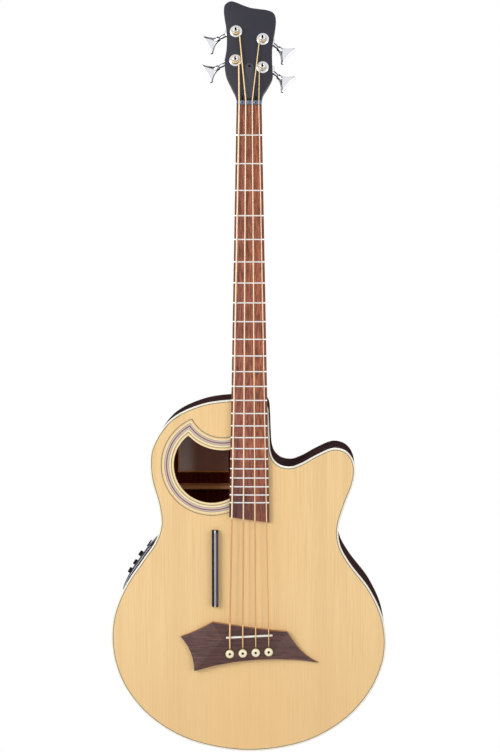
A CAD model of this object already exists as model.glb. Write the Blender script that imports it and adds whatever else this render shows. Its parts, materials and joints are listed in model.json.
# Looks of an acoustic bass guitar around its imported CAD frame. Metres, in the CAD's frame:
# X runs across the strings, +Y into the body, +Z towards the headstock, origin at the nut.
import json
from math import acos, atan2, copysign, cos, hypot, pi, radians, sin, sqrt, tan
import bmesh
import bpy
import numpy as np
from mathutils import Matrix, Vector


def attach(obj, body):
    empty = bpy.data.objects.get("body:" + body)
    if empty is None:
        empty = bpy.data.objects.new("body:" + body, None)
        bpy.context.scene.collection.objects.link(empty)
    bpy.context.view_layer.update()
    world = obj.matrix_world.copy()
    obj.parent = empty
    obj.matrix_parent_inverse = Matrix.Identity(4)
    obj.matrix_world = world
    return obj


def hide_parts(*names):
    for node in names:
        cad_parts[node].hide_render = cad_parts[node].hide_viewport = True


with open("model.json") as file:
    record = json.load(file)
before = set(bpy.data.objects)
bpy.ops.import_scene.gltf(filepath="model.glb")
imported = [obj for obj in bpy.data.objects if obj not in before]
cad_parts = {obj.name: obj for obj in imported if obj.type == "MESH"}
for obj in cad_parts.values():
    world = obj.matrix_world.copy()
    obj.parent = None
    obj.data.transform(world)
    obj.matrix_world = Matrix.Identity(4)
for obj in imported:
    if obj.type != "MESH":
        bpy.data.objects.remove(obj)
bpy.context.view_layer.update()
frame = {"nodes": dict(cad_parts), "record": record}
nodes = frame["nodes"]
MM = 0.001
scene = bpy.context.scene

# Dimensions repeated from the CAD source, in millimetres
SEAT_GAP = 0.3
SCALE_LENGTH = 863.6
JOINT_Z = -SCALE_LENGTH * (1 - 2 ** (-14 / 12))
BODY_LENGTH = 586.8
BODY_HALF_WIDTH = 227.5
DEPTH_AT_NECK = 112
DEPTH_AT_TAIL = 122
BACK_ARCH_RADIUS = 4572
BINDING_DEPTH = 5.6
BOARD_END = -676.2
BOARD_SLANT = 4.4
BOARD_HALF_AT_NUT = 20.25
BOARD_HALF_AT_END = 33.05
BOARD_HEIGHT = 6.5
BOARD_CROWN = 0.9
BOARD_TAPER = (BOARD_HALF_AT_END - BOARD_HALF_AT_NUT) / BOARD_END
NUT_DEPTH = 7
HEAD_TILT = radians(14)
HEAD_HALF = 42.5
HEAD_LENGTH = 168
HEAD_THICK = 15
HEEL_RISE = 74
HEEL_DEPTH = 118
HEEL_LIMIT = 98

# The body's edge from the neck down the bass side and round: shares of half width and of length
EDGE_SHARES = [
    (-0.132, 0), (-0.356, 0.014), (-0.573, 0.057), (-0.705, 0.135), (-0.721, 0.184),
    (-0.708, 0.23), (-0.661, 0.296), (-0.645, 0.352), (-0.684, 0.401), (-0.771, 0.451),
    (-0.906, 0.53), (-0.993, 0.619), (-1.001, 0.713), (-0.931, 0.804), (-0.79, 0.882),
    (-0.599, 0.941), (-0.375, 0.979), (-0.012, 1), (0.352, 0.98), (0.575, 0.942),
    (0.768, 0.883), (0.911, 0.806), (0.987, 0.716), (0.971, 0.621), (0.873, 0.535),
    (0.725, 0.459), (0.657, 0.41), (0.644, 0.36), (0.692, 0.294), (0.749, 0.235),
    (0.763, 0.193), (0.744, 0.165), (0.702, 0.145), (0.649, 0.136), (0.592, 0.136),
    (0.48, 0.155), (0.373, 0.178), (0.296, 0.188), (0.222, 0.183), (0.176, 0.168),
    (0.153, 0.146), (0.144, 0.1), (0.139, 0.052), (0.131, 0.02), (0.105, 0.004),
    (0.06, 0),
]


def curve_through(points, steps, closed=True):
    """Centripetal Catmull-Rom through the points, as the CAD source draws it."""
    points = np.array(points, float)
    count = len(points)
    out = []
    for i in range(count if closed else count - 1):
        if closed:
            a, b, c, d = (points[(i + k) % count] for k in (-1, 0, 1, 2))
        else:
            b, c = points[i], points[i + 1]
            a = points[i - 1] if i else 2 * b - c
            d = points[i + 2] if i + 2 < count else 2 * c - b
        gaps = [max(np.dot(q - p, q - p) ** 0.25, 1e-6) for p, q in ((a, b), (b, c), (c, d))]
        t1 = ((b - a) / gaps[0] - (c - a) / (gaps[0] + gaps[1]) + (c - b) / gaps[1]) * gaps[1]
        t2 = ((c - b) / gaps[1] - (d - b) / (gaps[1] + gaps[2]) + (d - c) / gaps[2]) * gaps[1]
        for k in range(steps):
            t = k / steps
            out.append(b + t1 * t + (3 * (c - b) - 2 * t1 - t2) * t * t
                       + (2 * (b - c) + t1 + t2) * t ** 3)
    if not closed:
        out.append(points[-1])
    return np.array(out)


def outward_normals(line):
    """Unit normals of a closed line; clockwise or not, they point outwards."""
    along = np.roll(line, -1, 0) - np.roll(line, 1, 0)
    normal = np.stack([along[:, 1], -along[:, 0]], 1)
    normal /= np.maximum(np.linalg.norm(normal, axis=1), 1e-9)[:, None]
    return normal * np.sign((normal * (line - line.mean(0))).sum())


def inset_line(line, distance):
    return line - distance * outward_normals(line)


def srgb(r, g, b):
    """Linear colour of an 8-bit screen colour."""
    def lin(v):
        v /= 255
        return v / 12.92 if v <= 0.04045 else ((v + 0.055) / 1.055) ** 2.4
    return (lin(r), lin(g), lin(b), 1.0)


def tinted(color, factor, lift=0.0):
    """The colour times a factor, with alpha left at one."""
    return tuple(min(1, c * factor + lift) for c in color[:3]) + (1,)


class Nodes:
    """Short calls for the nodes of a tree; a value is a plain one or another node's output."""

    def __init__(self, tree):
        self.tree = tree

    def put(self, socket, value):
        if isinstance(value, bpy.types.NodeSocket):
            self.tree.links.new(value, socket)
        else:
            socket.default_value = value

    def node(self, kind, inputs=(), **settings):
        made = self.tree.nodes.new("ShaderNode" + kind)
        for key, value in settings.items():
            setattr(made, key, value)
        for key, value in dict(inputs).items():
            self.put(made.inputs[key], value)
        return made

    def place(self, scale=(1, 1, 1)):
        """Object coordinates, stretched."""
        coords = self.node("TexCoord").outputs["Object"]
        return self.node("Mapping", {"Vector": coords, "Scale": scale}, vector_type="POINT").outputs["Vector"]

    def axis(self, vector, which):
        return self.node("SeparateXYZ", {"Vector": vector}).outputs[which]

    def noise(self, vector, scale, detail=3, rough=0.55, distortion=0.0):
        return self.node("TexNoise", {"Vector": vector, "Scale": scale, "Detail": detail,
                                      "Roughness": rough, "Distortion": distortion}).outputs["Fac"]

    def math(self, operation, a, b=0.0, c=0.0):
        return self.node("Math", {0: a, 1: b, 2: c}, operation=operation).outputs[0]

    def times(self, a, b):
        return self.math("MULTIPLY", a, b)

    def band(self, value, low, high, out_low=0.0, out_high=1.0):
        return self.node("MapRange", {"Value": value, "From Min": low, "From Max": high, "To Min": out_low,
                                      "To Max": out_high}, interpolation_type="SMOOTHSTEP").outputs["Result"]

    def mix(self, share, a, b):
        return self.node("Mix", {0: share, 6: a, 7: b}, data_type="RGBA").outputs[2]

    def layered(self, share, a, b):
        """The surface of shader a with shader b over it by the share."""
        return self.node("MixShader", {0: share, 1: a, 2: b}).outputs[0]


class Shader(Nodes):
    """A new material with one principled surface."""

    def __init__(self, name, rough=0.5, metal=0.0, coat=0.0, coat_rough=0.05, spec=0.5):
        self.mat = bpy.data.materials.new(name)
        self.mat.use_nodes = True
        super().__init__(self.mat.node_tree)
        self.bsdf = self.tree.nodes["Principled BSDF"]
        self.set("Roughness", rough)
        self.set("Metallic", metal)
        self.set("Coat Weight", coat)
        self.set("Coat Roughness", coat_rough)
        self.set("Specular IOR Level", spec)

    def set(self, socket, value):
        self.put(self.bsdf.inputs[socket], value)

    def color(self, value):
        self.set("Base Color", value)

    def bump(self, height, strength=0.2, distance=0.0003):
        made = self.node("Bump", {"Height": height, "Strength": strength, "Distance": distance})
        self.set("Normal", made.outputs["Normal"])


def linked(name, data):
    """A new object in the scene."""
    made = bpy.data.objects.new(name, data)
    scene.collection.objects.link(made)
    return made


# Camera, fitted to the photograph's frets, strings and outlines; metres and radians
FOCAL_PIXELS, PICTURE_HEIGHT, SENSOR_HEIGHT = 2000, 752, 36
CAMERA_AT = (0.10467, -3.2558, -0.1523)
YAW, PITCH, ROLL = 0.0318035, 0.0879366, -0.000494
camera_data = bpy.data.cameras.new("camera")
camera_data.sensor_fit = "VERTICAL"
camera_data.sensor_height = SENSOR_HEIGHT
camera_data.lens = SENSOR_HEIGHT * FOCAL_PIXELS / PICTURE_HEIGHT
camera_data.clip_end = 100
camera = linked("camera", camera_data)
ahead = Vector((-sin(YAW) * cos(PITCH), cos(YAW) * cos(PITCH), -sin(PITCH)))
level_right = Vector((cos(YAW), sin(YAW), 0))
level_up = level_right.cross(ahead)
right = level_right * cos(ROLL) + level_up * sin(ROLL)
up = level_up * cos(ROLL) - level_right * sin(ROLL)
turned = Matrix((right, up, -ahead)).transposed().to_4x4()
camera.matrix_world = Matrix.Translation(CAMERA_AT) @ turned
scene.camera = camera
scene.view_settings.view_transform = "Standard"

# World: pure white where it is seen, softer and warmer as a light
WORLD_STRENGTH = 0.52
WORLD_TINT = (1, 0.95, 0.86, 1)
WHITE = (1, 1, 1, 1)
world = bpy.data.worlds.new("studio")
scene.world = world
world.use_nodes = True
studio = Nodes(world.node_tree)
ray = studio.node("LightPath").outputs
direct = studio.math("MAXIMUM", ray["Is Camera Ray"], ray["Is Transmission Ray"])
seen = studio.math("MAXIMUM", direct, ray["Is Glossy Ray"])
background = world.node_tree.nodes["Background"].inputs
studio.put(background["Color"], studio.mix(seen, WORLD_TINT, WHITE))
studio.put(background["Strength"], studio.band(seen, 0, 1, WORLD_STRENGTH, 1.0))


def lamp(name, at, target, size, power):
    data = bpy.data.lights.new(name, "AREA")
    data.shape = "SQUARE"
    data.size = size
    data.energy = power
    made = linked(name, data)
    made.location = at
    made.rotation_euler = (Vector(target) - Vector(at)).to_track_quat("-Z", "Y").to_euler()


lamp("key", (-2.4, -2.3, 0.5), (0, 0, -0.55), 1.6, 58)
lamp("fill", (2.0, -2.2, -0.2), (0, 0, -0.55), 1.6, 16)
lamp("rear", (0.6, 2.6, 0.9), (0, 0, -0.5), 1.8, 26)

# Floor, below the hanging guitar: pale, and pure white away from its shadow
FLOOR_Z, FLOOR_SIZE = -1.5, 40
FLOOR_GREY, FLOOR_LIFT = (0.62, 0.62, 0.62, 1), 0.42
SHADOW_FADES, SHADOW_ENDS = 0.7, 1.3
bpy.ops.mesh.primitive_plane_add(size=FLOOR_SIZE, location=(0, 0, FLOOR_Z))
floor = bpy.context.object
floor.name = "floor"
stage = Shader("floor_pale", rough=0.9, spec=0.0)
stage.color(FLOOR_GREY)
glow = stage.node("Emission", {"Color": WHITE, "Strength": 1.0}).outputs[0]
lift = stage.node("Emission", {"Color": WHITE, "Strength": FLOOR_LIFT}).outputs[0]
plain = stage.bsdf.outputs[0]
lifted = stage.node("AddShader", {0: plain, 1: lift}).outputs[0]
floor_ray = stage.node("LightPath").outputs
seen_rays = stage.math("MAXIMUM", floor_ray["Is Camera Ray"], floor_ray["Is Glossy Ray"])
spot = stage.node("VectorMath", {0: stage.place(scale=(1, 1, 0))}, operation="LENGTH").outputs["Value"]
far = stage.band(spot, SHADOW_FADES, SHADOW_ENDS)
near_floor = stage.layered(seen_rays, plain, lifted)
whole_floor = stage.layered(stage.times(far, seen_rays), near_floor, glow)
stage.put(stage.tree.nodes["Material Output"].inputs["Surface"], whole_floor)
floor.data.materials.append(stage.mat)


# Materials; their bands and scales are in metres, since the nodes read object coordinates
def spruce_look():
    s = Shader("spruce_gloss", rough=0.32, coat=0.35, coat_rough=0.08, spec=0.35)
    base = s.place()
    across = s.math("ABSOLUTE", s.axis(base, 0))
    vector = s.node("CombineXYZ", {"X": across, "Y": s.times(s.axis(base, 1), 0.3),
                                   "Z": s.times(s.axis(base, 2), 0.012)}).outputs[0]
    fine = s.noise(vector, 620, 2, 0.6, 0.05)
    lines = s.band(fine, 0.44, 0.66)
    broad = s.noise(vector, 46, 3, 0.55)
    cloud = s.noise(s.place(), 5, 2, 0.5)
    light = s.mix(cloud, srgb(252, 219, 163), srgb(247, 212, 153))
    color = s.mix(s.times(lines, 0.48), light, srgb(232, 190, 132))
    color = s.mix(s.times(s.band(broad, 0.5, 0.72), 0.45), color, srgb(236, 197, 142))
    aged = s.band(s.axis(base, 2), -1.07, -0.8, 0.5, 0.0)
    color = s.mix(aged, color, srgb(238, 196, 138))
    golden = s.band(across, 0.02, 0.13, 0.25, 0.0)
    color = s.mix(golden, color, srgb(246, 200, 134))
    seam = s.band(across, 0.0004, 0.0011, 0.15, 0.0)
    color = s.mix(seam, color, srgb(214, 168, 112))
    s.color(color)
    s.set("Roughness", s.band(fine, 0.3, 0.7, 0.26, 0.36))
    s.bump(fine, 0.06, 0.0002)
    return s.mat


def dark_wood_look():
    """Sides and back; faces that look to the front, which only the hole shows, are warmer."""
    s = Shader("side_wood", rough=0.5, spec=0.0)
    vector = s.place(scale=(1, 1, 0.08))
    grain = s.noise(vector, 260, 4, 0.62, 0.3)
    broad = s.noise(s.place(scale=(1, 1, 0.2)), 22, 3, 0.5, 0.6)
    color = s.mix(s.band(grain, 0.35, 0.7), srgb(66, 47, 50), srgb(38, 28, 30))
    color = s.mix(s.band(broad, 0.4, 0.7), color, srgb(72, 50, 52))
    inward = s.band(s.axis(s.node("TexCoord").outputs["Normal"], 1), -0.9, -0.5, 1.0, 0.0)
    warm = s.mix(s.band(grain, 0.35, 0.7), srgb(116, 46, 22), srgb(82, 28, 12))
    s.color(s.mix(inward, color, warm))
    s.set("Roughness", s.band(grain, 0.3, 0.7, 0.46, 0.56))
    s.bump(grain, 0.05, 0.0002)
    return s.mat


def open_pored(s, stretched, scale, dark, light, broad_share, rough):
    """Sets the roughness and pores of a wood, and returns its colour."""
    grain = s.noise(stretched, scale, 4, 0.65, 0.25)
    broad = s.noise(stretched, 40, 3, 0.5, 0.4)
    pores = s.noise(stretched, scale * 4, 2, 0.5)
    s.set("Roughness", s.band(grain, 0.3, 0.7, rough - 0.06, rough + 0.1))
    s.bump(s.band(pores, 0.55, 0.75, 1.0, 0.0), 0.18, 0.0002)
    color = s.mix(s.band(grain, 0.34, 0.68), light, dark)
    color = s.mix(s.times(s.band(broad, 0.45, 0.7), broad_share), color, dark)
    return s.mix(s.times(s.band(pores, 0.62, 0.72), 0.6), color, tinted(dark, 0.35))


def pored_look(name, dark, light, rough=0.5, along=0.035, scale=340, level=False):
    """Open-pored wood with its grain along Z, or along X where it lies level."""
    s = Shader(name, rough=rough, spec=0.4)
    stretched = s.place(scale=(along, 1, 1) if level else (1, 1, along))
    s.color(open_pored(s, stretched, scale, srgb(*dark), srgb(*light), 0.4, rough))
    return s.mat


def board_look():
    """Redder on the bass half, darker along the two edges and towards the end over the body."""
    rough = 0.48
    s = Shader("board_wood", rough=rough, spec=0.4)
    place = s.place()
    across, height = s.axis(place, 0), s.axis(place, 2)
    light = s.mix(s.band(across, -0.022, 0.022), srgb(182, 110, 96), srgb(196, 116, 84))
    color = open_pored(s, s.place(scale=(1, 1, 0.11)), 420, srgb(104, 58, 46), light, 0.3, rough)
    half = s.math("MULTIPLY_ADD", height, BOARD_TAPER, BOARD_HALF_AT_NUT * MM)
    share = s.math("DIVIDE", s.math("ABSOLUTE", across), half)
    color = s.mix(s.band(share, 0.84, 0.93, 0.0, 0.75), color, srgb(104, 50, 52))
    lower = s.band(height, -0.66, -0.56, 0.74, 0.0)
    bass_half = s.band(across, -0.02, 0.02, 1.0, 0.5)
    s.color(s.mix(s.times(lower, bass_half), color, srgb(62, 36, 42)))
    return s.mat


def satin_black_look():
    s = Shader("satin_black", rough=0.42, spec=0.3)
    haze = s.noise(s.place(), 14, 3)
    fine = s.noise(s.place(), 900, 2)
    s.color(s.mix(haze, srgb(45, 45, 56), srgb(53, 53, 65)))
    s.set("Roughness", s.band(haze, 0.3, 0.7, 0.36, 0.48))
    s.bump(fine, 0.02)
    return s.mat


def metal_look(name, color, rough, wear=0.05, scale=120, metal=1.0):
    s = Shader(name, rough=rough, metal=metal)
    smudge = s.noise(s.place(), scale, 3, 0.6)
    color = srgb(*color)
    s.color(s.mix(smudge, color, tinted(color, 0.86)))
    s.set("Roughness", s.band(smudge, 0.3, 0.75, rough, rough + wear))
    return s.mat


def plastic_look(name, color, rough, grain=0.08, spec=0.5):
    s = Shader(name, rough=rough, spec=spec)
    fine = s.noise(s.place(), 1400, 2)
    cloud = s.noise(s.place(), 60, 2)
    color = srgb(*color)
    s.color(s.mix(cloud, color, tinted(color, 1.25, 0.002)))
    s.set("Roughness", s.band(cloud, 0.3, 0.7, rough - 0.04, rough + 0.06))
    s.bump(fine, grain, 0.0001)
    return s.mat


def bone_look():
    s = Shader("bone", rough=0.3, coat=0.8)
    streak = s.noise(s.place(scale=(0.3, 1, 1)), 300, 3)
    s.color(s.mix(streak, srgb(255, 254, 250), srgb(246, 242, 230)))
    s.set("Subsurface Weight", 0.05)
    s.bump(streak, 0.04)
    return s.mat


def label_look():
    s = Shader("label_paper", rough=0.8)
    fibre = s.noise(s.place(), 700, 3)
    pale = s.mix(fibre, srgb(252, 228, 224), srgb(234, 210, 206))
    brown = s.mix(fibre, srgb(204, 146, 130), srgb(182, 126, 110))
    s.color(s.mix(s.band(s.axis(s.place(), 0), -0.112, -0.09), pale, brown))
    s.bump(fibre, 0.1)
    return s.mat


def grained(name, a, b, scale=500, rough=0.35, coat=0.3, stretch=(1, 1, 1), bump=0.05):
    s = Shader(name, rough=rough, coat=coat)
    grain = s.noise(s.place(scale=stretch), scale, 3)
    s.color(s.mix(grain, srgb(*a), srgb(*b)))
    s.bump(grain, bump)
    return s.mat


# Tables of looks, with screen colours
# Two colours, scale, roughness, coat, stretch of the grain and bump
GRAINED = {
    "inner_wood": ((255, 186, 128), (238, 156, 100), 320, 0.75, 0.0, (1, 1, 0.1), 0.15),
    "cream_binding": ((255, 254, 245), (252, 245, 226), 90, 0.3, 0.4, (1, 1, 0.4), 0.04),
    "purfling_line": ((146, 138, 118), (124, 116, 98), 900),
    "purfling_dark": ((52, 40, 36), (36, 28, 26), 900, 0.6, 0.0),
    "rosette_lilac": ((216, 204, 200), (196, 184, 180), 800),
    "rosette_grey": ((148, 138, 124), (124, 116, 104), 800),
    "rosette_red": ((166, 74, 50), (126, 50, 38), 800),
    "rosette_cream": ((255, 240, 196), (250, 226, 176), 800),
    "pin_cream": ((255, 250, 226), (246, 236, 200), 200, 0.3),
    "pin_yellow": ((226, 208, 142), (206, 186, 118), 200, 0.35),
    "label_rim": ((255, 176, 60), (236, 150, 44), 300, 0.7, 0.0),
}
# Dark and light colour, roughness, stretch along the grain, scale, and whether it lies level
PORED = {
    "bridge_wood": ((57, 36, 35), (103, 68, 64), 0.45, 0.035, 420, True),
    "bridge_wall": ((138, 94, 70), (170, 118, 86), 0.45, 0.05, 300, True),
    "bridge_facet": ((71, 48, 47), (112, 79, 75), 0.42, 0.035, 420, True),
    "board_side": ((46, 24, 22), (78, 44, 38)),
}
# Colour, roughness, wear, scale of the smudges and metallic share
METALS = {
    "nut_metal": ((104, 114, 138), 0.42, 0.05, 120, 0.7),
    "chrome": ((232, 234, 238), 0.1),
    "rod_steel": ((140, 142, 146), 0.4),
    "string_bronze": ((246, 208, 138), 0.32, 0.05, 300),
    "fret_metal": ((244, 244, 248), 0.22),
    "screw_dark": ((34, 34, 38), 0.4, 0.05, 120, 0.7),
    "screw_grey": ((116, 120, 146), 0.3),
    "key_chrome": ((236, 237, 243), 0.09, 0.03),
}
# Colour, roughness, bump of the grain and specular level
PLASTICS = {
    "black_plastic": ((24, 23, 28), 0.4, 0.08, 0.15),
    "head_edge": ((22, 22, 26), 0.5, 0.03),
    "cover_black": ((58, 58, 70), 0.3, 0.03),
    "slot_dark": ((10, 8, 8), 0.6, 0.08, 0.0),
    "key_line": ((172, 172, 182), 0.4, 0.01, 0.0),
    "shaft_line": ((22, 20, 24), 0.4, 0.01, 0.0),
    "rest_glint": ((166, 164, 176), 0.35, 0.02),
    "rest_shine": ((236, 234, 246), 0.3, 0.02),
    "rest_grey": ((90, 88, 106), 0.4, 0.02, 0.2),
    "panel_glint": ((178, 168, 192), 0.3, 0.02),
}
looks = {
    "spruce_top": spruce_look(),
    "dark_wood": dark_wood_look(),
    "rosette_inlay": grained("rosette_band", (200, 184, 190), (178, 160, 168)),
    "label_paper": label_look(),
    "board_wood": board_look(),
    "satin_neck": satin_black_look(),
    "bone": bone_look(),
}
for make, table in ((grained, GRAINED), (pored_look, PORED), (metal_look, METALS), (plastic_look, PLASTICS)):
    looks.update({name: make(name, *values) for name, values in table.items()})

slot_of = {part["node"]: part["material_slot"] for part in frame["record"]["subparts"]}
for name, obj in nodes.items():
    obj.data.materials.clear()
    obj.data.materials.append(looks[slot_of[name]])


# Mesh helpers: everything is drawn in millimetres and stored in metres
def riding(name, data, body, replaced):
    """The mesh on a body, standing for CAD nodes; a look that the CAD names is also its slot."""
    made = linked(name, data)
    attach(made, body)
    if replaced:
        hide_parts(*replaced)
    return made


def piece(name, part, look, replaced=(), body="guitar", sharp=35):
    """A new piece from vertices and faces, in place of one CAD node, of several or of none."""
    verts, faces = part
    data = bpy.data.meshes.new(name)
    data.from_pydata([tuple(float(c) * MM for c in v) for v in verts], [], faces)
    bm = bmesh.new()
    bm.from_mesh(data)
    bmesh.ops.remove_doubles(bm, verts=bm.verts, dist=1e-7)
    bmesh.ops.recalc_face_normals(bm, faces=bm.faces)
    shade(bm, data, sharp)
    data.materials.append(looks[look])
    return riding(name, data, body, [replaced] if isinstance(replaced, str) else replaced)


def shade(bm, data, sharp):
    """Smooth faces with edges sharp above the angle, written back to the mesh."""
    for joint in bm.edges:
        joint.smooth = len(joint.link_faces) == 2 and joint.calc_face_angle(0) < radians(sharp)
    for face in bm.faces:
        face.smooth = True
    bm.to_mesh(data)
    bm.free()


def stacked(sections, ring=False):
    """Vertices and faces through closed sections of equal length, with end caps unless it is a ring."""
    count, size = len(sections), len(sections[0])
    verts = [v for section in sections for v in section]
    faces = []
    for i in range(count if ring else count - 1):
        here, there = i * size, (i + 1) % count * size
        for k in range(size):
            j = (k + 1) % size
            faces.append((here + k, here + j, there + j, there + k))
    if not ring:
        faces += [tuple(range(size))[::-1], tuple(range((count - 1) * size, count * size))]
    return verts, faces


def block(x, y, z):
    """A box from three pairs of low and high."""
    return stacked([[(x[0], y[0], c), (x[1], y[0], c), (x[1], y[1], c), (x[0], y[1], c)] for c in z])


def joined(*parts):
    verts, faces = [], []
    for more_verts, more_faces in parts:
        start = len(verts)
        verts += list(more_verts)
        faces += [tuple(i + start for i in face) for face in more_faces]
    return verts, faces


def arc(cx, cz, r, start, end, steps):
    """Points from the start angle on, without the one at the end angle."""
    angles = [start + (end - start) * k / steps for k in range(steps)]
    return [(cx + r * cos(a), cz + r * sin(a)) for a in angles]


def moved(part, matrix):
    verts, faces = part
    return [tuple(matrix @ Vector(v)) for v in verts], faces


# Body: sides, bindings and purfling follow the same edge as the CAD, sampled more finely
edge = curve_through([(a * BODY_HALF_WIDTH, JOINT_Z - d * BODY_LENGTH) for a, d in EDGE_SHARES], 10)
outward = outward_normals(edge)


def back_y(x, z):
    depth = DEPTH_AT_NECK + (DEPTH_AT_TAIL - DEPTH_AT_NECK) * (JOINT_Z - z) / BODY_LENGTH
    return depth - x * x / (2 * BACK_ARCH_RADIUS)


def edge_ring(profile_at):
    """A ring round the body from profile_at(x, z), a list of (distance inside the edge, y)."""
    sections = []
    for (x, z), (nx, nz) in zip(edge, outward):
        sections.append([(x - nx * d, y, z - nz * d) for d, y in profile_at(x, z)])
    return stacked(sections, ring=True)


# Distances inside the edge and below a face, and how far the binding's corner is rounded off
SIDE_IN, SIDE_THICK, SIDE_TUCK = 0.05, 2.6, 0.1
BINDING_IN, BINDING_FOOT, BINDING_STEP = 2.95, 2.7, 3.3
ROUND_OFF, ROUND_MIDDLE = 0.75, 0.22
LINE_PROUD, BACK_LINE_OUT, BACK_LINE_DEEP = 0.02, 3.9, 1
TOP_LINE_IN, TOP_LINE_OUT, TOP_LINE_DEEP = 2.3, 3.7, 1.2
SIDE_LINE_WIDTH, SIDE_LINE_DEEP = 0.9, 1


def side_profile(x, z):
    top, bottom = BINDING_DEPTH - SIDE_TUCK, back_y(x, z) - BINDING_DEPTH + SIDE_TUCK
    return [(SIDE_IN, top), (SIDE_IN, bottom), (SIDE_THICK, bottom), (SIDE_THICK, top)]


def binding_profile(face, inwards):
    """The binding's section from the body's face, with inwards 1 at the top and -1 at the back."""
    return [(d, face + inwards * y) for d, y in (
        (ROUND_OFF, 0), (ROUND_MIDDLE, ROUND_MIDDLE), (0, ROUND_OFF), (0, BINDING_DEPTH),
        (BINDING_FOOT, BINDING_DEPTH), (BINDING_IN, BINDING_STEP), (BINDING_IN, 0))]


def line_profile(start, end, proud, deep):
    return [(start, proud), (end, proud), (end, deep), (start, deep)]


def back_line(x, z):
    y = back_y(x, z)
    return line_profile(BINDING_IN, BACK_LINE_OUT, y + LINE_PROUD, y - BACK_LINE_DEEP)


piece("side_ribbon", edge_ring(side_profile), "dark_wood", ("bass_side", "treble_side"))
top_ring = edge_ring(lambda x, z: binding_profile(0, 1))
back_ring = edge_ring(lambda x, z: binding_profile(back_y(x, z), -1))
piece("top_binding_ring", top_ring, "cream_binding", "top_binding", sharp=50)
piece("back_binding_ring", back_ring, "cream_binding", "back_binding", sharp=50)
top_line = line_profile(TOP_LINE_IN, TOP_LINE_OUT, -LINE_PROUD, TOP_LINE_DEEP)
piece("top_purfling", edge_ring(lambda x, z: top_line), "purfling_line")
low = BINDING_DEPTH + SIDE_LINE_WIDTH
side_line = [(0, BINDING_DEPTH), (0, low), (SIDE_LINE_DEEP, low), (SIDE_LINE_DEEP, BINDING_DEPTH)]
piece("side_line", edge_ring(lambda x, z: side_line), "purfling_dark")
piece("back_purfling", edge_ring(back_line), "purfling_line")

# Rosette: strips round the crescent hole, each between two offsets outward from the hole's edge
HOLE_R, HOLE_X, HOLE_Z = 62.5, -62, JOINT_Z - 108
UPPER_R, UPPER_X, UPPER_Z = 76, -44.5, JOINT_Z - 7
HOLE_TUCK = 1.0
HOLE_STEPS, UPPER_STEPS = 64, 26


def board_half(z):
    return BOARD_HALF_AT_NUT + BOARD_TAPER * z


def crescent(distance):
    """The hole's line moved outwards: round the lower circle to the tip, and back along the upper one."""
    lower, upper = HOLE_R + distance, UPPER_R - distance
    dx, dz = UPPER_X - HOLE_X, UPPER_Z - HOLE_Z
    apart = hypot(dx, dz)
    along = (apart ** 2 + lower ** 2 - upper ** 2) / (2 * apart)
    aside = sqrt(lower ** 2 - along ** 2)
    tip_x = HOLE_X + (dx * along - dz * aside) / apart
    tip_z = HOLE_Z + (dz * along + dx * aside) / apart
    edge_x = HOLE_TUCK - board_half(HOLE_Z)
    first = -acos((edge_x - HOLE_X) / lower)
    last = atan2(tip_z - HOLE_Z, tip_x - HOLE_X) - 2 * pi
    out = arc(HOLE_X, HOLE_Z, lower, first, last, HOLE_STEPS)
    first = -acos((edge_x - UPPER_X) / upper)
    last = atan2(tip_z - UPPER_Z, tip_x - UPPER_X)
    return out + [(tip_x, tip_z)] + arc(UPPER_X, UPPER_Z, upper, first, last, UPPER_STEPS)[::-1]


def strip(near, far, y, deep):
    sections = []
    for (ax, az), (bx, bz) in zip(crescent(near), crescent(far)):
        sections.append([(ax, y, az), (bx, y, bz), (bx, deep, bz), (ax, deep, az)])
    return stacked(sections)


ROSETTE_END, ROSETTE_PROUD, ROSETTE_DEEP, ROSETTE_THIN = 21.1, 0.03, 0.9, 0.02
BASE_START, BASE_END, BASE_PROUD = 3.4, 21.3, 0.008
rosette_strips = [
    ("edge", 0.02, 2.3, "cream"), ("line_a", 3.5, 4.5, "grey"), ("line_b", 7.6, 8.2, "grey"),
    ("lilac_a", 8.2, 10.9, "lilac"), ("red_line", 10.8, 12.6, "red"), ("lilac_b", 12.4, 14.7, "lilac"),
    ("line_c", 14.7, 15.5, "grey"), ("line_d", 19.8, ROSETTE_END, "grey"),
    ("cream_a", 4.5, 7.6, "cream"), ("cream_b", 15.5, 17.4, "cream"),
]
for name, near, far, tint in rosette_strips:
    deep = ROSETTE_DEEP if far < ROSETTE_END else ROSETTE_THIN
    piece("rosette_" + name, strip(near, far, -ROSETTE_PROUD, deep), "rosette_" + tint)
piece("rosette_base", strip(BASE_START, BASE_END, -BASE_PROUD, ROSETTE_DEEP), "spruce_top", "rosette")


def paint(obj, look, test):
    """Gives the faces whose normal passes the test a second material."""
    obj.data.materials.append(looks[look])
    for polygon in obj.data.polygons:
        if test(polygon.normal, polygon.center):
            polygon.material_index = len(obj.data.materials) - 1


def lathe(profile, segments=48, face=0):
    """Turned about Y; the profile runs from axis to axis or closes on itself, its Y counted from a face."""
    verts, rings = [], []
    for radius, behind in profile:
        start, y = len(verts), face + behind
        if radius:
            verts += [(x, y, z) for x, z in arc(0, 0, radius, 0, 2 * pi, segments)]
        else:
            verts.append((0, y, 0))
        rings.append(range(start, len(verts)))
    faces = []
    for a, b in zip(rings, rings[1:] if profile[0][0] == 0 else rings[1:] + rings[:1]):
        for k in range(segments):
            j = (k + 1) % segments
            if len(a) == 1:
                faces.append((a[0], b[k], b[j]))
            elif len(b) == 1:
                faces.append((a[k], b[0], a[j]))
            else:
                faces.append((a[k], b[k], b[j], a[j]))
    return verts, faces


WELD, FLAT = 2e-6, radians(0.6)
SOFT_SHARP = 38


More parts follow.
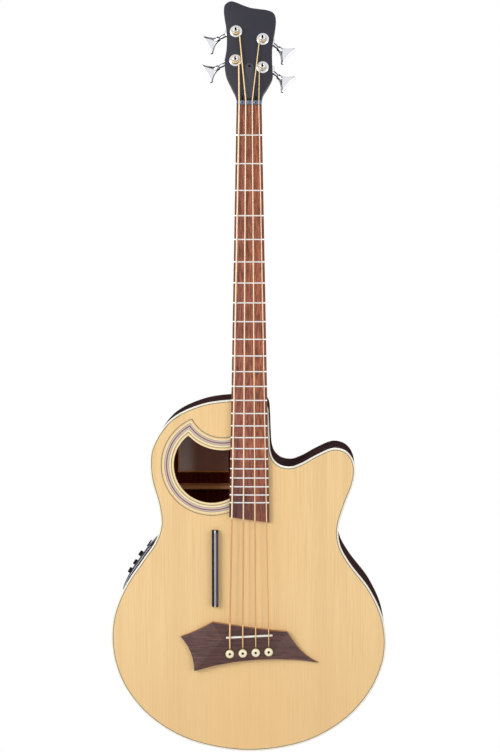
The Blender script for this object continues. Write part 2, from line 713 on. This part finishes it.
def dressed(node, body="guitar", bevel=0.4, segments=2, angle=32):
    """A copy of a CAD node with welded, softened edges that stands for it."""
    data = nodes[node].data.copy()
    data.name = node + "_soft"
    bm = bmesh.new()
    bm.from_mesh(data)
    bmesh.ops.remove_doubles(bm, verts=bm.verts, dist=WELD)
    bmesh.ops.dissolve_limit(bm, angle_limit=FLAT, verts=bm.verts, edges=bm.edges)
    bmesh.ops.recalc_face_normals(bm, faces=bm.faces)
    hard = [e for e in bm.edges if len(e.link_faces) == 2
            and e.calc_face_angle(0) > radians(angle) and e.calc_length() > bevel * MM * 2.2]
    bmesh.ops.bevel(bm, geom=hard, offset=bevel * MM, segments=segments, profile=0.5,
                    affect="EDGES", clamp_overlap=True)
    shade(bm, data, SOFT_SHARP)
    if "custom_normal" in data.attributes:
        data.attributes.remove(data.attributes["custom_normal"])
    return riding(node + "_soft", data, body, [node])


# Fingerboard with darker sides, and its 24 frets
FRET_COUNT = 24
frets_at = [-SCALE_LENGTH * (1 - 2 ** (-n / 12)) for n in range(1, FRET_COUNT + 1)]


def board_y(share):
    return BOARD_CROWN * share * share - BOARD_HEIGHT


def board_section(z, slant=0.0):
    half = board_half(z)
    shares = [-1 + k / 8 for k in range(17)]
    crown = [(half * share, board_y(share), z - slant * share) for share in shares]
    return [(-half, 0, z + slant)] + crown + [(half, 0, z - slant)]


board_sections = [board_section(z) for z in (0, -300, -600)] + [board_section(BOARD_END, BOARD_SLANT)]
board = piece("fingerboard_wood", stacked(board_sections), "board_wood", "fingerboard", sharp=25)
paint(board, "board_side", lambda n, c: abs(n.x) > 0.8)
FRET_RISE, FRET_HALF_WIDTH, FRET_SLACK, FRET_SUNK = 1.25, 1.35, 0.25, 0.05
FRET_END_SHARE, FRET_END_DROP = 0.97, 0.85


def fret_bar(z):
    half = board_half(z) - FRET_SLACK
    angles = [pi * j / 6 for j in range(7)]
    sections = []
    for k in range(13):
        share = -1 + k / 6
        end = 1 - FRET_END_DROP * max(0, abs(share) - FRET_END_SHARE) / (1 - FRET_END_SHARE)
        y = board_y(share) + FRET_SUNK
        sections.append([(half * share, y - FRET_RISE * end * sin(a), z + FRET_HALF_WIDTH * cos(a))
                         for a in angles])
    return stacked(sections)


piece("frets", joined(*[fret_bar(z) for z in frets_at]), "fret_metal", sharp=60)

# Nut with its two height screws, each in a round well
dressed("nut", bevel=0.45)
SCREW_Z, SCREW_FACE = 3.6, -9.86
WELL_R, WELL_SUNK, WELL_PROUD = 1.4, 0.02, 0.04
screws_at = (("bass", -11.2), ("treble", 10.8))
disc = lathe([(0, 0.24), (2.5, 0.24), (2.7, 0.16), (2.35, 0), (0, 0)], 32, SCREW_FACE)
well_profile = [(0, WELL_SUNK), (WELL_R, WELL_SUNK), (WELL_R, -WELL_PROUD), (0, -WELL_PROUD)]
well = lathe(well_profile, 6, SCREW_FACE)
for side, x in screws_at:
    at = Matrix.Translation((x, 0, SCREW_Z))
    piece(f"nut_screw_{side}", moved(disc, at), "screw_grey")
    piece(f"nut_well_{side}", moved(well, at), "screw_dark")

# Neck shaft and heel, drawn as the CAD draws them but more finely
HEEL_END = max(z for x, z in edge) + SEAT_GAP
HEEL_TOP = HEEL_END + HEEL_RISE
SHAFT_DEPTH, SHAFT_GROWTH = 15.5, 3.5
SHAFT_ROUND, HEEL_ROUND, HEEL_CURVE = 2.3, 1.7, 2.3
NECK_STEPS = 40


def neck_section(z):
    half = board_half(min(z, 0))
    shaft = min(max(z / HEEL_TOP, 0), 1)
    heel = min(max((HEEL_TOP - z) / HEEL_RISE, 0), 1) ** HEEL_CURVE
    depth = (SHAFT_DEPTH + SHAFT_GROWTH * shaft) * (1 - heel) + HEEL_DEPTH * heel
    power = 2 / (SHAFT_ROUND * (1 - heel) + HEEL_ROUND * heel)
    out = []
    for i in range(NECK_STEPS + 1):
        a = pi * i / NECK_STEPS
        x = copysign(abs(cos(a)) ** power, cos(a))
        out.append((half * x, min(depth * abs(sin(a)) ** power, HEEL_LIMIT), z))
    return out


stations = [NUT_DEPTH, 3, 0] + [HEEL_TOP * k / 12 for k in range(1, 13)]
stations += [HEEL_TOP - HEEL_RISE * s / 18 for s in range(1, 19)]
neck_shaft = stacked([neck_section(z) for z in stations])

# The headstock's edge from the nut round: shares of half width and of length
HEAD_SHARES = [
    (-0.534, 0.057), (-0.7, 0.147), (-0.9, 0.262), (-0.95, 0.387), (-0.887, 0.507),
    (-0.873, 0.6), (-0.9, 0.72), (-1, 0.9), (-0.955, 0.966), (-0.744, 1),
    (-0.534, 0.989), (-0.266, 0.96), (0.042, 0.933), (0.388, 0.92), (0.694, 0.907),
    (0.906, 0.88), (0.995, 0.823), (0.962, 0.707), (0.88, 0.586), (0.856, 0.49),
    (0.871, 0.346), (0.878, 0.24), (0.711, 0.146), (0.522, 0.062),
]
head_place = Matrix.Translation((0, 0, NUT_DEPTH)) @ Matrix.Rotation(-HEAD_TILT, 4, "X")
head_points = [(a * HEAD_HALF, u * HEAD_LENGTH) for a, u in HEAD_SHARES]
head_edge = curve_through([(-BOARD_HALF_AT_NUT, 0)] + head_points + [(BOARD_HALF_AT_NUT, 0)], 8, closed=False)


# The head's rim is rounded above its foot in millimetres, its sides are darker above a height in metres
HEAD_FOOT, SIDES_FROM = 2, 0.02
head_sections = []
rounding = ((0, 1.0), (0.3, 0.3), (1.0, 0))
for y, inset in rounding + tuple((HEAD_THICK - y, inset) for y, inset in reversed(rounding)):
    line = inset_line(head_edge, inset) if inset else head_edge
    line = np.where(head_edge[:, 1:2] < HEAD_FOOT, head_edge, line)
    head_sections.append([(x, y, z) for x, z in line])
head = moved(stacked(head_sections), head_place)
neck = piece("neck_and_head", joined(neck_shaft, head), "satin_neck", "neck", sharp=40)
front = head_place.to_3x3() @ Vector((0, -1, 0))
paint(neck, "head_edge", lambda n, c: abs(n.dot(front)) < 0.5 and c.z > SIDES_FROM)

# Truss rod cover: a round-ended plate with a small screw, and a dark recess on each side of its foot
COVER_HALF, COVER_START, COVER_LENGTH = 7.6, 3, 60
COVER_SCREW_Z = 57.5
RECESS_HALF, RECESS_PROUD, RECESS_START, RECESS_END = 0.9, 0.04, 1.5, 7.5


def cover_outline(d):
    half = COVER_HALF - d
    top = COVER_START + COVER_LENGTH - COVER_HALF
    foot = [(-half, COVER_START + d), (half, COVER_START + d)]
    return foot + arc(0, top, half, 0, pi, 24) + [(-half, top)]


cover_sections = [[(x, y, z) for x, z in cover_outline(d)]
                  for y, d in ((-0.3, 0), (-1.7, 0), (-2.15, 0.25), (-2.3, 0.8))]
piece("truss_cover", moved(stacked(cover_sections), head_place), "cover_black", "truss_rod_cover")
for side, x in screws_at:
    recess = block((x - RECESS_HALF, x + RECESS_HALF), (-RECESS_PROUD, 1), (RECESS_START, RECESS_END))
    piece(f"nut_recess_{side}", moved(recess, head_place), "slot_dark")
screw_place = head_place @ Matrix.Translation((0, 0, COVER_SCREW_Z))
screw = lathe([(0, -2.9), (1.5, -2.75), (2.0, -2.3), (0, -2.3)], 24)
piece("truss_cover_screw", moved(screw, screw_place), "slot_dark")

# Tuners
STRING_NAMES = ["e", "a", "d", "g"]
POST_SHARES = [(-0.534, 0.402), (-0.525, 0.693), (0.501, 0.615), (0.499, 0.332)]
BUSHING_R, BUSHING_T = 10.2, 2
POST_R, POST_WAIST, POST_RISE, POST_FLANGE, POST_FLANGE_T = 4.4, 3.8, 12.2, 4.6, 1.1
SHAFT_Y = HEAD_THICK + SEAT_GAP + 7
SHAFT_R, SHAFT_OFFSET, SHAFT_TAIL = 3, 9.7, 8
KEY_LENGTH, KEY_SPAN, KEY_TIP, KEY_STEM = 21.5, 17.5, 2.6, 4.2
KEY_BEND_X, KEY_BEND_Z = 8, 5.6
FLANGE_LOW = POST_FLANGE_T - POST_RISE
KEY_LAYERS = ((0, 0.55), (0.35, 1.15), (0.9, 1.75), (1.9, 2.3), (3.2, 2.5))
KEY_SAFE_INSET, KEY_LOBE, COLLAR_END = 1.9, 15.7, 7
SLOT_HALF, SLOT_REACH, SLOT_PROUD = 1.2, 3.1, 0.03
BASS_REACH, BASS_TURN = 30, pi - radians(29)
TREBLE_REACH, TREBLE_TURN = 27, radians(40)


def quadratic(a, b, c, steps):
    a, b, c = np.array(a), np.array(b), np.array(c)
    shares = [k / steps for k in range(steps)]
    return [tuple((1 - t) ** 2 * a + 2 * t * (1 - t) * b + t * t * c) for t in shares]


def clover_outline():
    tip_x, tip_z = KEY_LENGTH - KEY_TIP, KEY_SPAN - KEY_TIP
    low = (tip_x - KEY_TIP * 0.9, -tip_z - KEY_TIP * 0.45)
    out = quadratic((0, -KEY_STEM), (KEY_BEND_X, -KEY_BEND_Z), low, 14)
    out += arc(tip_x, -tip_z, KEY_TIP, pi * 1.15, pi * 2, 10)
    out += quadratic((KEY_LENGTH, -tip_z), (tip_x, 0), (KEY_LENGTH, tip_z), 14)
    out += arc(tip_x, tip_z, KEY_TIP, 0, pi * 0.85, 10)
    out += quadratic((low[0], -low[1]), (KEY_BEND_X, KEY_BEND_Z), (0, KEY_STEM), 14)
    return np.array(out + [(0, KEY_STEM)])


def clover():
    """A pillowed three-lobed plate; past the safe inset its rings go on along straight lines."""
    outline = clover_outline()
    front = []
    for inset, half in KEY_LAYERS:
        measured = min(inset, KEY_SAFE_INSET)
        ring = inset_line(outline, measured)
        ring = outline + (ring - outline) * (inset / measured if inset else 0)
        ring[:, 0] = np.maximum(ring[:, 0], 0)
        front.append([(x, half, z) for x, z in ring])
    back = [[(x, -y, z) for x, y, z in ring] for ring in reversed(front)]
    return stacked(back + front)


def key_shaft(reach):
    """The worm shaft with its collar and waist, turned about Y and then laid along X."""
    profile = [(0, -SHAFT_TAIL), (SHAFT_R - 0.4, -SHAFT_TAIL), (SHAFT_R, 0.4 - SHAFT_TAIL),
               (SHAFT_R, reach - 7), (SHAFT_R - 0.5, reach - 6.4), (SHAFT_R - 0.5, reach - 4),
               (3.9, reach - 3.2), (4.2, reach - 2.6), (4.2, reach - 0.6), (3.8, reach),
               (3.1, reach + 0.8), (2.7, reach + 5), (0, reach + 8)]
    return moved(lathe(profile, 32), Matrix.Rotation(-pi / 2, 4, "Z"))


def bushing():
    inner, top = POST_R + 0.6, -BUSHING_T
    return lathe([
        (inner, top - 0.3), (inner + 0.5, top - 0.55), (6.6, top - 0.5), (6.9, top + 0.2),
        (7.3, top + 0.2), (7.6, top - 0.3), (BUSHING_R - 1.2, top), (BUSHING_R - 0.4, -1.5),
        (BUSHING_R, -0.9), (BUSHING_R, -0.3), (6.6, -0.3), (6.6, 8), (inner, 8)], 64)


def post():
    end = HEAD_THICK + 12.9
    return lathe([
        (0, 5 - POST_RISE), (1.6, 5 - POST_RISE), (1.7, 0.3 - POST_RISE), (2.0, -POST_RISE),
        (POST_FLANGE - 0.9, -POST_RISE), (POST_FLANGE - 0.15, 0.4 - POST_RISE),
        (POST_FLANGE, 0.8 - POST_RISE), (POST_FLANGE, FLANGE_LOW),
        (POST_WAIST, FLANGE_LOW + 0.8), (POST_WAIST, -2.9), (POST_R, -2.9),
        (POST_R, HEAD_THICK), (3.2, HEAD_THICK), (3.2, end), (0, end)], 48)


def paint_key(key, place, reach):
    """Grey rim lines on the plate and dark lines on the shaft, as the white room draws them."""
    home = place.inverted()

    def along(c):
        return (home @ (c / MM)).x

    paint(key, "key_line", lambda n, c: (
        abs(n.y) < 0.6 and along(c) > reach and (home.to_3x3() @ n).x < 0.2))
    paint(key, "shaft_line", lambda n, c: (
        abs(n.y) < 0.9 and along(c) < reach
        or n.z < -0.2 and abs(n.y) < 0.8 and along(c) < reach + COLLAR_END
        or n.z < 0 and abs((home @ (c / MM)).z) > KEY_LOBE))


for name, (across, upward) in zip(STRING_NAMES, POST_SHARES):
    side, reach, turn = (-1, BASS_REACH, BASS_TURN) if across < 0 else (1, TREBLE_REACH, TREBLE_TURN)
    place = head_place @ Matrix.Translation((across * HEAD_HALF, 0, upward * HEAD_LENGTH))
    piece(f"bushing_{name}", moved(bushing(), place), "chrome", f"tuner_bushing_{name}", sharp=50)
    piece(f"post_{name}", moved(post(), place), "chrome", f"tuner_post_{name}",
          body=f"{name}_post", sharp=50)
    slot = stacked([[(-SLOT_HALF, y, -SLOT_REACH), (SLOT_HALF, y, -SLOT_REACH),
                     (SLOT_HALF, y, SLOT_REACH), (-SLOT_HALF, y, SLOT_REACH)]
                    for y in (-POST_RISE - SLOT_PROUD, -POST_RISE + 1)])
    piece(f"post_slot_{name}", moved(slot, place), "slot_dark", body=f"{name}_post")
    key_place = place @ Matrix.Rotation(turn, 4, "Y") @ Matrix.Translation((0, SHAFT_Y, side * SHAFT_OFFSET))
    key = joined(moved(clover(), Matrix.Translation((reach, 0, 0))), key_shaft(reach))
    key = piece(f"key_{name}", moved(key, key_place), "key_chrome", f"tuner_key_{name}",
                body=f"{name}_key", sharp=48)
    paint_key(key, key_place, reach)
    dressed(f"tuner_case_{name}", bevel=0.8)

# Strings: the CAD's own path, as a finer tube with its wrapping in the bump
NUT_SPACING, SADDLE_SPACING = 10.6, 21.4
DIAMETERS = [2.5, 2.1, 1.75, 1.45]
SADDLE_Z = -(SCALE_LENGTH + 6.2)
SADDLE_SLOPE = radians(3.3)
BRIDGE_HEIGHT, SADDLE_PROUD, PIN_SETBACK, PIN_SHAFT = 9.5, 3.2, 27.7, 3.2
PIN_HEAD, PIN_HEAD_HEIGHT = 7.2, 3
SADDLE_THICK, SLOT_CLEAR, STRING_TAIL, BEND_SHARE = 3.2, 0.4, 4.6, 0.35
RAMP_DEPTH, RAMP_START, RAMP_END = 2.6, 6.6, 4.3
COIL_TURNS, COIL_GAP, COIL_CLEAR, COIL_LIFT = 1.5, 0.9, 0.35, 0.3
COIL_STEPS = 48
STRING_NUT_Y = -8.9
STRING_SIDES = 14
WRAP_PITCH = 0.42
# Slanted lines where the strings change their look, in metres: the bridge's upper edge, the board's end
BRIDGE_EDGE_SLOPE, BRIDGE_EDGE_Z = 0.156, (-0.853, -0.85)
BOARD_EDGE_SLOPE, BOARD_EDGE_Z = 0.1, (-0.678, -0.674)


def saddle_line(x):
    return SADDLE_Z + x * tan(SADDLE_SLOPE)


def pin_place(i):
    x = (i - 1.5) * SADDLE_SPACING
    return x, saddle_line(x) - PIN_SETBACK


def string_look(name):
    """Bronze that is paler over the board, warmer over the bridge and darker over the soundboard."""
    s = Shader(name, rough=0.4, metal=0.25)
    along = s.axis(s.node("TexCoord").outputs["UV"], 0)
    wave = s.math("SINE", s.times(along, 2 * pi / WRAP_PITCH))
    smudge = s.noise(s.place(), 80, 3)
    place = s.place()
    x, height = s.axis(place, 0), s.axis(place, 2)
    above_bridge = s.band(s.math("MULTIPLY_ADD", x, BRIDGE_EDGE_SLOPE, height), *BRIDGE_EDGE_Z)
    below_board = s.band(s.math("MULTIPLY_ADD", x, BOARD_EDGE_SLOPE, height), *BOARD_EDGE_Z, 1.0, 0.0)
    color = s.mix(smudge, srgb(255, 240, 204), srgb(255, 226, 180))
    color = s.mix(above_bridge, srgb(255, 208, 148), color)
    color = s.mix(s.band(height, 0.0, 0.01), color, srgb(255, 222, 166))
    over_body = s.times(below_board, above_bridge)
    s.color(s.mix(over_body, color, srgb(212, 164, 112)))
    s.set("Roughness", s.band(smudge, 0.3, 0.7, 0.36, 0.46))
    s.bump(wave, 0.15, 0.0001)
    return s.mat


def wound_tube(name, path, radius, look):
    """A tube along the path, its UV's first axis the length in millimetres."""
    path = [Vector(p) for p in path]
    across = Vector((1, 0, 0))
    sections, lengths, travelled = [], [], 0
    for i, here in enumerate(path):
        before, after = path[max(i - 1, 0)], path[min(i + 1, len(path) - 1)]
        along = (after - before).normalized()
        across = (across - along * across.dot(along)).normalized()
        other = along.cross(across)
        travelled += (here - before).length
        lengths.append(travelled)
        angles = [2 * pi * k / STRING_SIDES for k in range(STRING_SIDES)]
        sections.append([here + across * radius * cos(a) + other * radius * sin(a) for a in angles])
    made = piece(name, stacked(sections), look, name, sharp=60)
    uv = made.data.uv_layers.new(name="UVMap")
    for polygon in made.data.polygons:
        for loop, vertex in zip(polygon.loop_indices, polygon.vertices):
            uv.data[loop].uv = (lengths[vertex // STRING_SIDES], (vertex % STRING_SIDES) / STRING_SIDES)
    return made


def string_path(i):
    r = DIAMETERS[i] / 2
    x, pin_z = pin_place(i)
    xn = (i - 1.5) * NUT_SPACING
    rise = pin_z + PIN_SHAFT + SLOT_CLEAR + r
    over = -(BRIDGE_HEIGHT + SADDLE_PROUD + r + SEAT_GAP)
    nut_place = Vector((xn, STRING_NUT_Y, NUT_DEPTH + SEAT_GAP))
    post = Vector((POST_SHARES[i][0] * HEAD_HALF, 0, POST_SHARES[i][1] * HEAD_LENGTH))
    turning = 1 if post.x < 0 else -1
    coil = POST_WAIST + COIL_CLEAR + r
    local = head_place.inverted() @ nut_place
    dx, dz = local.x - post.x, local.z - post.z
    start = atan2(dz, dx) + turning * acos(coil / hypot(dx, dz))
    entry = -(BUSHING_T + SEAT_GAP + r + COIL_LIFT)
    pitch = DIAMETERS[i] + COIL_GAP
    path = [(x, STRING_TAIL, rise), (x, -BRIDGE_HEIGHT * BEND_SHARE, rise),
            (x, RAMP_DEPTH - BRIDGE_HEIGHT, pin_z + RAMP_START),
            (x, -(BRIDGE_HEIGHT + r + SEAT_GAP), pin_z + PIN_HEAD + RAMP_END),
            (x, over, saddle_line(x) - SADDLE_THICK / 2), (x, over, saddle_line(x) + SADDLE_THICK / 2),
            (xn, STRING_NUT_Y, 0), tuple(nut_place)]
    for k in range(int(COIL_TURNS * COIL_STEPS) + 1):
        turns = k / COIL_STEPS
        a = start + turning * turns * 2 * pi
        on_coil = Vector((post.x + coil * cos(a), entry - pitch * turns, post.z + coil * sin(a)))
        path.append(tuple(head_place @ on_coil))
    return path


for i, name in enumerate(STRING_NAMES):
    looks[f"wound_{name}"] = string_look(f"wound_{name}")
    wound_tube(f"string_{name}", string_path(i), DIAMETERS[i] / 2, f"wound_{name}")

# Bridge, saddle and pins
bridge = dressed("bridge", bevel=0.55, angle=24)
paint(bridge, "bridge_wall", lambda n, c: n.z > 0.6)
paint(bridge, "bridge_facet", lambda n, c: -0.9995 < n.y < -0.85 and abs(c.x) > 0.02)
dressed("saddle", bevel=0.9, segments=3)
PIN_RIM, PIN_END = 6.5, PIN_HEAD_HEIGHT + 17
PIN_TOP = -BRIDGE_HEIGHT - SEAT_GAP - PIN_HEAD_HEIGHT
pin_mesh = lathe([
    (0, 0.7), (2.0, 0.7), (2.1, 0.05), (3.4, 0), (4.3, 0.12), (4.7, 0.5), (5.1, 0.42), (6.3, 0.75),
    (7.0, 1.4), (PIN_HEAD, 2.1), (7.0, 2.8), (6.6, PIN_HEAD_HEIGHT), (PIN_SHAFT, PIN_HEAD_HEIGHT),
    (2.6, PIN_END), (0, PIN_END)], 56, PIN_TOP)
eye_mesh = lathe([(0, 0.62), (2.3, 0.62), (2.3, 0.75), (0, 0.75)], 32, PIN_TOP)
for i, name in enumerate(STRING_NAMES):
    x, z = pin_place(i)
    at = Matrix.Translation((x, 0, z))
    pin = piece(f"pin_{name}", moved(pin_mesh, at), "pin_cream", f"bridge_pin_{name}", sharp=60)
    paint(pin, "pin_yellow", lambda n, c: hypot(c.x / MM - x, c.z / MM - z) > PIN_RIM and c.y < 0)
    piece(f"pin_eye_{name}", moved(eye_mesh, at), "slot_dark")

# Warm rim of bare wood along the label's left and lower edges, on the inside of the back
RIM_THICK, RIM_IN, RIM_OUT, RIM_OUT_LOW, RIM_STEP = 0.3, 0.2, 2.2, 2, 25
label_points = [v.co / MM for v in nodes["label"].data.vertices]
label_x = [min(v.x for v in label_points), max(v.x for v in label_points)]
label_z = [min(v.z for v in label_points), max(v.z for v in label_points)]
inner_gap = min(back_y(v.x, v.z) - v.y for v in label_points)


def rim_at(x, z):
    y = back_y(x, z) - inner_gap
    return [(x, y, z), (x, y - RIM_THICK, z)]


left, low = label_x[0], label_z[0]
upright = [rim_at(left - RIM_IN, z) + rim_at(left - RIM_OUT, z)[::-1]
           for z in (low - RIM_OUT_LOW, low + RIM_STEP, label_z[1])]
piece("label_rim_left", stacked(upright), "label_rim", sharp=30)
level_rim = [rim_at(x, low - RIM_IN) + rim_at(x, low - RIM_OUT_LOW)[::-1]
             for x in np.linspace(left, label_x[1], 9)]
piece("label_rim_low", stacked(level_rim), "label_rim", sharp=30)

# Thumb rest and end pin jack
REST_X, REST_LENGTH, REST_HEIGHT, REST_BEVEL, REST_HALF = -56.5, 127.5, 11, 3, 5.2
GLINT_START, GLINT_END, GREY_END = -1.1, 1.5, 4.5
rest_top = max(v.co.z for v in nodes["thumb_rest"].data.vertices) / MM


def rest_section(drop, rise):
    """A flat-topped section of the bar, this far below its upper end and this high."""
    w, foot = REST_HALF, REST_BEVEL - rise
    line = [(-w, 0), (-w, foot), (1.2 - w, 0.3 - rise), (1.7 - w, -rise), (GLINT_START, -rise),
            (GLINT_END, -rise), (w - 3.3, -rise), (w - 2.7, 0.3 - rise), (w - 0.8, 2.2 - rise),
            (w, foot), (w, 0)]
    return [(REST_X + x, y, rest_top - drop) for x, y in line]


end_rise = REST_HEIGHT - REST_BEVEL
rest = piece("thumb_rest_bar", stacked([
    rest_section(0, end_rise), rest_section(REST_BEVEL, REST_HEIGHT),
    rest_section(REST_LENGTH - REST_BEVEL, REST_HEIGHT), rest_section(REST_LENGTH, end_rise)]),
    "black_plastic", "thumb_rest", sharp=50)


def in_rest(c, low, high):
    return low < c.x / MM - REST_X < high


paint(rest, "rest_grey", lambda n, c: abs(n.z) < 0.1 and n.y < -0.3 and in_rest(c, GLINT_END, GREY_END))
paint(rest, "rest_glint", lambda n, c: n.y < -0.9 and in_rest(c, GLINT_START, GLINT_END))
paint(rest, "rest_shine", lambda n, c: (
    -0.9 < n.y < -0.3 < abs(n.z) and in_rest(c, GLINT_START, GLINT_END)))
dressed("endpin_jack", bevel=0.3)

# Preamp: a panel bent along the bass side, with its box behind it, three knobs and a button
PANEL_START, PANEL_END, PANEL_FRONT, PANEL_BACK = 239, 323, 34, 80
PANEL_PROUD, PANEL_END_PROUD = 3.8, 0.9
PANEL_MIDDLE = (PANEL_START + PANEL_END) / 2
PANEL_STEPS = 40
BOX_DEEP, BOX_HALF, BOX_MARGIN = 32, 33, 4
GLINT_NEAR, GLINT_FAR, GLINT_LOW, GLINT_TOP = 34.5, 35, -316, -248
BASS_SIDE_X, BASS_SIDE_LOW, BASS_SIDE_TOP = -130, -820, -700
bass_table = np.array(sorted((z, x, nx, nz) for (x, z), (nx, nz) in zip(edge, outward)
                             if x < BASS_SIDE_X and BASS_SIDE_LOW < z < BASS_SIDE_TOP)).T


def bass_at(drop):
    z = JOINT_Z - drop
    x, nx, nz = (np.interp(z, bass_table[0], row) for row in bass_table[1:])
    length = hypot(nx, nz)
    return x, z, nx / length, nz / length


def panel_proud(drop):
    across = abs(drop - PANEL_MIDDLE) / (PANEL_END - PANEL_MIDDLE)
    return PANEL_PROUD + (PANEL_END_PROUD - PANEL_PROUD) * across ** 4 + SEAT_GAP / 2


def panel_section(drop):
    x, z, nx, nz = bass_at(drop)
    proud, bevel = panel_proud(drop), PANEL_PROUD / 2
    slope = proud - SEAT_GAP
    out = [(SEAT_GAP + slope * share, PANEL_FRONT + bevel * share) for share in (0, 0.3, 0.58, 0.93)]
    out += [(proud, PANEL_FRONT + bevel * 1.2), (proud, PANEL_BACK - bevel * 1.2)]
    out += [(SEAT_GAP + slope * share, PANEL_BACK - bevel * share) for share in (0.93, 0)]
    return [(x + nx * d, y, z + nz * d) for d, y in out]


drops = [PANEL_START + (PANEL_END - PANEL_START) * k / PANEL_STEPS for k in range(PANEL_STEPS + 1)]
panel = stacked([panel_section(drop) for drop in drops])
half, proud = (PANEL_BACK - PANEL_FRONT) / 2 - BOX_MARGIN, PANEL_PROUD / 2
x, z, nx, nz = bass_at(PANEL_MIDDLE)
box_place = Matrix.Translation((x, (PANEL_FRONT + PANEL_BACK) / 2, z))
box_place @= Matrix.Rotation(-atan2(nz, nx), 4, "Y")
box = moved(block((-BOX_DEEP, proud), (-half, half), (-BOX_HALF, BOX_HALF)), box_place)
preamp = piece("preamp_panel", joined(panel, box), "black_plastic", "preamp", sharp=60)
paint(preamp, "panel_glint", lambda n, c: (
    n.y < -0.3 and GLINT_NEAR < c.y / MM < GLINT_FAR and GLINT_LOW < c.z / MM - JOINT_Z < GLINT_TOP))
for name in ("volume_knob", "bass_knob", "treble_knob"):
    dressed(name, bevel=0.35, body=name.split("_")[0])
dressed("tuner_button", bevel=0.4, body="button")
